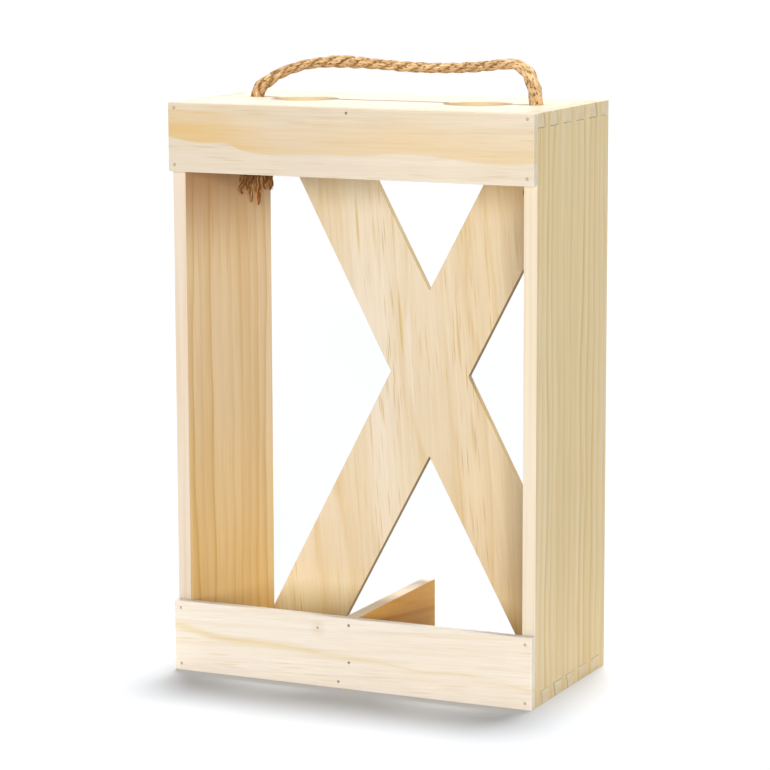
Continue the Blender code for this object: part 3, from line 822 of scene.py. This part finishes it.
def lay_strands(tubes, spaced, rope, sides=28):
    """Add the three strands of a left-laid rope along a centreline."""
    points = [point for point, _ in spaced]
    frames = carried_frames(points, FIRST_SIDE)
    step = (points[1] - points[0]).length
    for strand in range(3):
        phase = FIRST_TURN + strand * tau / 3
        rings, line, reach = [], [], []
        for slot, ((point, radius), (_, side, third)) in enumerate(zip(spaced, frames)):
            angle = phase - tau * step * slot / rope.lay_length
            swell = min(1.0, max(0.0, (radius - SLIM_RADIUS) / SWELL_REACH))
            outward = spoke(side, third, angle)
            offset = radius * (0.35 + 0.06 * swell)
            line.append(point + outward * offset)
            reach.append((radius - offset, outward, radius))
        for slot, (middle, (thick, outward, radius)) in enumerate(zip(line, reach)):
            forward = line[min(slot + 1, len(line) - 1)] - line[max(slot - 1, 0)]
            forward.normalize()
            radial = (outward - forward * outward.dot(forward)).normalized()
            across = forward.cross(radial)
            spin = tau * step * slot / rope.yarn_length
            ring, out = [], []
            for number in range(sides):
                angle = pi + tau * number / sides
                groove = 0.5 + 0.5 * cos(7 * (angle - spin) + strand)
                rough = noise.noise(middle * 900 + Vector((angle * 1.7, strand * 9.0, 0)))
                coarse = noise.noise(middle * 260 + Vector((strand * 5.0, angle, 0)))
                size = thick * (0.95 + 0.055 * groove + 0.045 * rough + 0.04 * coarse)
                place = middle + radial * cos(angle) * size + across * sin(angle) * size
                ring.append(place)
                lean = (place - spaced[slot][0]).length / radius
                out.append(min(1.0, lean) - 0.07 * (1.0 - groove))
            rings.append((ring, out))

        def place_on_yarn(ring, number, strand=strand):
            turned = number / sides - step * ring / rope.yarn_length
            return (turned + strand * 3.7, step * ring / PATTERN_LENGTH + strand * 11.0)

        tubes.tube(rings, place_on_yarn)


def add_fibre(tubes, line, lift, radii, sides, depth, shade, stretch):
    """Add one thin fibre along a line, in one shade of the jute."""
    turns = [tau * number / sides for number in range(sides)]
    rings = []
    for point, radius, (_, side, third) in zip(line, radii, carried_frames(line, lift)):
        ring = [point + spoke(side, third, turn) * radius for turn in turns]
        rings.append((ring, [depth] * sides))
    across, along = stretch
    tubes.tube(rings, lambda ring, number: (shade + number * across, shade + ring * along))


def lay_yarn(tubes, start, end, radius, seed, sides=9):
    """Add one loose yarn that hangs, wavers and opens into a brush of fibres."""
    chance = random.Random(seed)
    drop = end - start
    bow = Vector((drop.x, drop.y, 0)) * 0.45
    sway = Vector((chance.uniform(-1, 1), chance.uniform(-1, 1), 0)) * 0.0009
    route = [
        (start, radius),
        (start + drop * 0.25 + bow * 0.8 + sway, radius * 1.05),
        (start + drop * 0.55 + bow - sway, radius * 0.95),
        (start + drop * 0.82 + bow * 0.45 + sway, radius * 0.7),
        (end, radius * 0.3),
    ]
    spaced = spaced_along(route, YARN_STEP)
    frames = carried_frames([point for point, _ in spaced], Vector((0, 1, 0.1)))
    rings = []
    for slot, ((point, thick), (_, side, third)) in enumerate(zip(spaced, frames)):
        spin = tau * slot * YARN_STEP / YARN_TWIST
        ring, out = [], []
        for number in range(sides):
            angle = tau * number / sides
            groove = 0.5 + 0.5 * cos(3 * (angle - spin))
            rough = noise.noise(point * 900 + Vector((angle, seed, 0)))
            size = thick * (0.80 + 0.20 * groove + 0.20 * rough)
            ring.append(point + side * cos(angle) * size + third * sin(angle) * size)
            out.append(0.34 + 0.48 * groove + 0.12 * rough)
        rings.append((ring, out))
    tubes.tube(rings, lambda ring, number: (number / sides + seed * 0.37, ring * 0.05 + seed))
    for _ in range(YARN_HAIRS):
        turned = chance.uniform(0, tau)
        reach = chance.uniform(0.5, 1.1)
        first = chance.randrange(0, max(1, len(spaced) // 2))
        last = min(len(spaced) - 1, first + chance.randrange(len(spaced) // 3, len(spaced)))
        lean = chance.uniform(0.15, 0.95)
        depth = chance.uniform(0.35, 1.20)
        line = []
        for slot in range(first, last + 1, 3):
            share = (slot - first) / max(1, last - first)
            (point, thick), (_, side, third) = spaced[slot], frames[slot]
            away = spoke(side, third, turned + 1.4 * share)
            line.append(point + away * (thick * reach + radius * lean * share**1.5))
        if len(line) < 3:
            continue
        radii = [HAIR_RADIUS * (1.0 - 0.6 * slot / len(line)) for slot in range(len(line))]
        shade = chance.random() * 9
        add_fibre(tubes, line, away, radii, 4, depth, shade, (0.02, 0.12))


def scatter_fibres(tubes, spaced, count, seed):
    """Add stray fibres that run along the rope and stand a little off it."""
    chance = random.Random(seed)
    frames = carried_frames([point for point, _ in spaced], FIRST_SIDE)
    radii = [STRAY_RADIUS * (1.0 - 0.17 * part) for part in range(5)]
    for _ in range(count):
        slot = chance.randrange(12, len(spaced) - 12)
        stride = chance.choice((-2, -1, 1, 2))
        angle = chance.uniform(0, tau)
        drift = chance.uniform(-0.5, 0.5)
        stand = chance.uniform(0.0002, 0.0011)
        line = []
        for part in range(5):
            point, radius = spaced[slot + stride * part]
            _, side, third = frames[slot + stride * part]
            lift = spoke(side, third, angle + drift * part / 4)
            line.append(point + lift * (radius * 0.9 + stand * (part / 4) ** 1.4))
        add_fibre(tubes, line, lift, radii, 3, 1.0, chance.random() * 9, (0.01, 0.1))


def knot_line(side, turn):
    """Return the route of a knot, from inside its hole to the end of its laid tail."""
    twist_radius, half_turns, pitch = 0.0034, 3, 0.0137
    rope, squeezed, start = 0.0037, 0.0028 * 0.82, 0.0034
    board, gap, belly_reach, tail_length, tail_x = 0.007, 0.0003, 0.0092, 0.0045, 0.0008
    height = pitch * half_turns / 2
    crown = squeezed / 2
    top = -board - gap - squeezed - crown
    axis = -twist_radius
    steps = half_turns * 4

    def strand(phase):
        for step in range(steps + 1):
            angle = phase + pi * half_turns * step / steps
            x = axis + twist_radius * cos(angle)
            y = twist_radius * sin(angle)
            yield Vector((x, y, top - height * step / steps))

    belly_x = axis - belly_reach
    shoulder_x = (axis - twist_radius + belly_x) / 2
    sway = twist_radius + squeezed
    foot = top - height
    way_back = [
        Vector((shoulder_x, -sway, foot - crown)),
        Vector((belly_x, -sway / 2, foot + height / 4)),
        Vector((belly_x, sway / 2, top - height / 4)),
        Vector((shoulder_x, sway, top + crown)),
    ]
    route = [(Vector((0, 0, -start)), rope), (Vector((0, 0, -board)), rope)]
    route += [(point, squeezed) for point in (*strand(0), *way_back, *strand(pi))]
    route += [(Vector((tail_x, 0, foot - squeezed - tail_length)), squeezed * 1.12)]
    place = Matrix.Translation((side * HOLE_X, ROPE_DEPTH, TOP_HEIGHT))
    place = place @ Matrix.Rotation(radians(turn), 4, "Z")
    return [(place @ point, radius) for point, radius in route]


def bearing(turn, height):
    """Return the direction to a place at a turn from the front, and a height."""
    level = cos(height)
    return Vector((sin(turn) * level, -cos(turn) * level, sin(height)))


def aim_camera():
    """Set the camera at the photograph's viewing angle."""
    turn, drop, roll = (radians(angle) for angle in CAMERA_ANGLES)
    back = bearing(turn, drop)
    level = Vector((cos(turn), sin(turn), 0))
    raised = back.cross(level)
    right, up = spoke(level, raised, roll), spoke(raised, level, -roll)
    camera = bpy.data.cameras.new("studio_camera")
    camera.lens = CAMERA_LENS
    camera.sensor_width = 36
    camera.shift_x, camera.shift_y = CAMERA_SHIFT
    camera.clip_start = 0.05
    camera.clip_end = 100
    item = put_in_scene("studio_camera", camera)
    pose = Matrix((right, up, back)).transposed().to_4x4()
    item.matrix_world = Matrix.Translation(CAMERA_PLACE) @ pose
    bpy.context.scene.camera = item


def place_light(name, turn, height, spread, strength):
    """Place a far soft light, by its bearing from the front, its height and its spread."""
    lamp = bpy.data.lights.new(name, "SUN")
    lamp.angle = radians(spread)
    lamp.energy = strength
    towards = bearing(radians(turn), radians(height))
    item = put_in_scene(name, lamp)
    item.rotation_euler = (-towards).to_track_quat("-Z", "Y").to_euler()


def floor_look():
    """Return the floor's matt paper."""
    look = Look("studio_paper", {"Roughness": 0.9, "Specular IOR Level": 0.0})
    tooth = look.noise(look.place, (900.0, 900.0, 900.0))
    colour = look.mix(tooth, (0.69, 0.71, 0.735), (0.73, 0.75, 0.775))
    look.link(colour, "Base Color")
    return look.material


def light_room(tree, strength):
    """Light the room from all around, more from the right, from behind and from above."""
    room = Nodes(tree)
    place = room.add("ShaderNodeTexCoord").outputs["Generated"]
    lean = room.vector("DOT_PRODUCT", place, [share * strength for share in ROOM_LEAN])
    level = room.sum("ADD", lean, strength)
    seen = room.add("ShaderNodeLightPath").outputs["Is Camera Ray"]
    share = room.add("ShaderNodeMix", {0: seen, 2: level, 3: BACKDROP_LEVEL})
    background = tree.nodes["Background"]
    background.inputs["Color"].default_value = (1, 1, 1, 1)
    tree.links.new(share.outputs[0], background.inputs["Strength"])


class CRATE_OT_studio(bpy.types.Operator):
    """Set up the floor, the soft lights and the camera"""

    bl_idname = "crate.studio"
    bl_label = "Studio"
    bl_options = {"REGISTER", "UNDO"}

    def execute(self, context):
        studio = context.scene.crate_studio
        aim_camera()
        bpy.ops.object.select_all(action="DESELECT")
        bpy.ops.mesh.primitive_plane_add(size=studio.floor_width, location=(0, 0, 0))
        floor = context.object
        floor.name = "studio_floor"
        floor.data.materials.append(floor_look())
        for name, place in LIGHTS.items():
            place_light(f"{name}_light", *place, getattr(studio, f"{name}_strength"))
        world = bpy.data.worlds.new("studio_room")
        world.use_nodes = True
        light_room(world.node_tree, studio.room_strength)
        context.scene.view_settings.view_transform = "Standard"
        context.scene.world = world
        return {"FINISHED"}


class CRATE_OT_rope_loop(bpy.types.Operator):
    """Lay the rope of the handle from hole to hole"""

    bl_idname = "crate.rope_loop"
    bl_label = "Rope Loop"
    bl_options = {"REGISTER", "UNDO"}

    def execute(self, context):
        rope = context.scene.crate_rope
        material = rope_look("jute_fibre", rope.light_fibre, rope.dark_fibre_and_seam_shade, 0.15)
        route = [(Vector((x, ROPE_DEPTH, z)), radius) for x, z, radius in LOOP_ROUTE]
        spaced = spaced_along(route, LOOP_STEP)
        tubes = TubeMesh()
        lay_strands(tubes, spaced, rope)
        scatter_fibres(tubes, spaced, rope.stray_fibres, 7)
        loop = tubes.finish("rope_loop", material)
        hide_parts("rope_handle")
        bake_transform(loop)
        return {"FINISHED"}


class CRATE_OT_rope_knots(bpy.types.Operator):
    """Tie the two knots under the top board, with their frayed tails"""

    bl_idname = "crate.rope_knots"
    bl_label = "Rope Knots"
    bl_options = {"REGISTER", "UNDO"}

    def execute(self, context):
        rope = context.scene.crate_rope
        # Painted shade: the knots and tails lie under the top board, so their jute is a darker,
        # browner copy of the loop's.
        deeper = scaled(rope.light_fibre, (1.25, 0.87, 0.52))
        darker = scaled(rope.dark_fibre_and_seam_shade, (0.62, 0.55, 0.50))
        material = rope_look("shaded_jute", deeper, darker, 0.10)
        for name, side, turn, yarns, seed in (
            ("left", -1, 215, LEFT_YARNS, 31),
            ("right", 1, 35, RIGHT_YARNS, 57),
        ):
            spaced = spaced_along(knot_line(side, turn), KNOT_STEP)
            tubes = TubeMesh()
            lay_strands(tubes, spaced, rope, sides=18)
            end, radius = spaced[-1]
            for number, (*tip, thick) in enumerate(yarns):
                angle = tau * number / len(yarns)
                root = end + Vector((cos(angle), sin(angle), 0)) * radius * 0.55
                root.z += 0.0022
                lay_yarn(tubes, root, Vector(tip), thick, seed + number)
            scatter_fibres(tubes, spaced, rope.stray_fibres // 3, seed)
            knot = tubes.finish(f"rope_knot_{name}_laid", material)
            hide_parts(f"rope_knot_{name}")
            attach(knot, "crate")
        return {"FINISHED"}


def give_pine(context, names):
    """Give each of these boards its own pine."""
    for name in names:
        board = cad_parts[name]
        material = pine_look(name, BOARDS[name], context.scene.crate_pine)
        for slot in board.material_slots:
            slot.material = material


class CRATE_OT_boards(bpy.types.Operator):
    """Give the sides, the top, the bottom and the divider their pine"""

    bl_idname = "crate.boards"
    bl_label = "Dovetailed Boards"
    bl_options = {"REGISTER", "UNDO"}

    def execute(self, context):
        give_pine(context, (*SIDE_BOARDS, *LEVEL_BOARDS, "bottle_divider"))
        return {"FINISHED"}


class CRATE_OT_rails(bpy.types.Operator):
    """Give the two front rails their pine"""

    bl_idname = "crate.rails"
    bl_label = "Front Rails"
    bl_options = {"REGISTER", "UNDO"}

    def execute(self, context):
        give_pine(context, ("front_top_rail", "front_bottom_rail"))
        return {"FINISHED"}


class CRATE_OT_cross_panel(bpy.types.Operator):
    """Give the sawn cross panel its pine"""

    bl_idname = "crate.cross_panel"
    bl_label = "Cross Panel"
    bl_options = {"REGISTER", "UNDO"}

    def execute(self, context):
        give_pine(context, ("back_cross_panel",))
        return {"FINISHED"}


class CRATE_OT_brads(bpy.types.Operator):
    """Dull the brads"""

    bl_idname = "crate.brads"
    bl_label = "Brads"
    bl_options = {"REGISTER", "UNDO"}

    def execute(self, context):
        dark = brad_look("dulled_brad_steel", (0.30, 0.22, 0.16), (0.46, 0.33, 0.21))
        tan = brad_look("tanned_brad_steel", (0.64, 0.48, 0.31), (0.74, 0.58, 0.40))
        for name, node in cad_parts.items():
            if "_brad_" in name:
                low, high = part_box(name)
                corner = abs(low.x + high.x) / 2 > CORNER_BRAD and high.y < 0
                for slot in node.material_slots:
                    slot.material = tan if corner else dark
        return {"FINISHED"}


SETTINGS = {
    "crate_rope": RopeSettings,
    "crate_pine": PineSettings,
    "crate_studio": StudioSettings,
}
OPERATORS = (
    CRATE_OT_studio,
    CRATE_OT_rope_loop,
    CRATE_OT_rope_knots,
    CRATE_OT_boards,
    CRATE_OT_rails,
    CRATE_OT_cross_panel,
    CRATE_OT_brads,
)


class CRATE_PT_sidebar(bpy.types.Panel):
    """Lists the crate's pieces and settings"""

    bl_idname = "CRATE_PT_sidebar"
    bl_label = "Wine Crate"
    bl_space_type = "VIEW_3D"
    bl_region_type = "UI"
    bl_category = "Wine Crate"

    def draw(self, context):
        layout = self.layout
        for operator in OPERATORS:
            layout.operator(operator.bl_idname)
        for group in SETTINGS:
            settings = getattr(context.scene, group)
            box = layout.box()
            for name in settings.__annotations__:
                box.prop(settings, name)


CLASSES = (*SETTINGS.values(), *OPERATORS, CRATE_PT_sidebar)


def register():
    """Register the add-on."""
    for item in CLASSES:
        bpy.utils.register_class(item)
    for name, group in SETTINGS.items():
        setattr(bpy.types.Scene, name, PointerProperty(type=group))


def unregister():
    """Unregister the add-on."""
    for name in SETTINGS:
        delattr(bpy.types.Scene, name)
    for item in reversed(CLASSES):
        bpy.utils.unregister_class(item)


def main():
    """Dress the crate."""
    register()
    bpy.ops.crate.studio()
    bpy.ops.crate.rope_loop()
    bpy.ops.crate.rope_knots()
    bpy.ops.crate.boards()
    bpy.ops.crate.rails()
    bpy.ops.crate.cross_panel()
    bpy.ops.crate.brads()


if __name__ == "__main__":
    main()
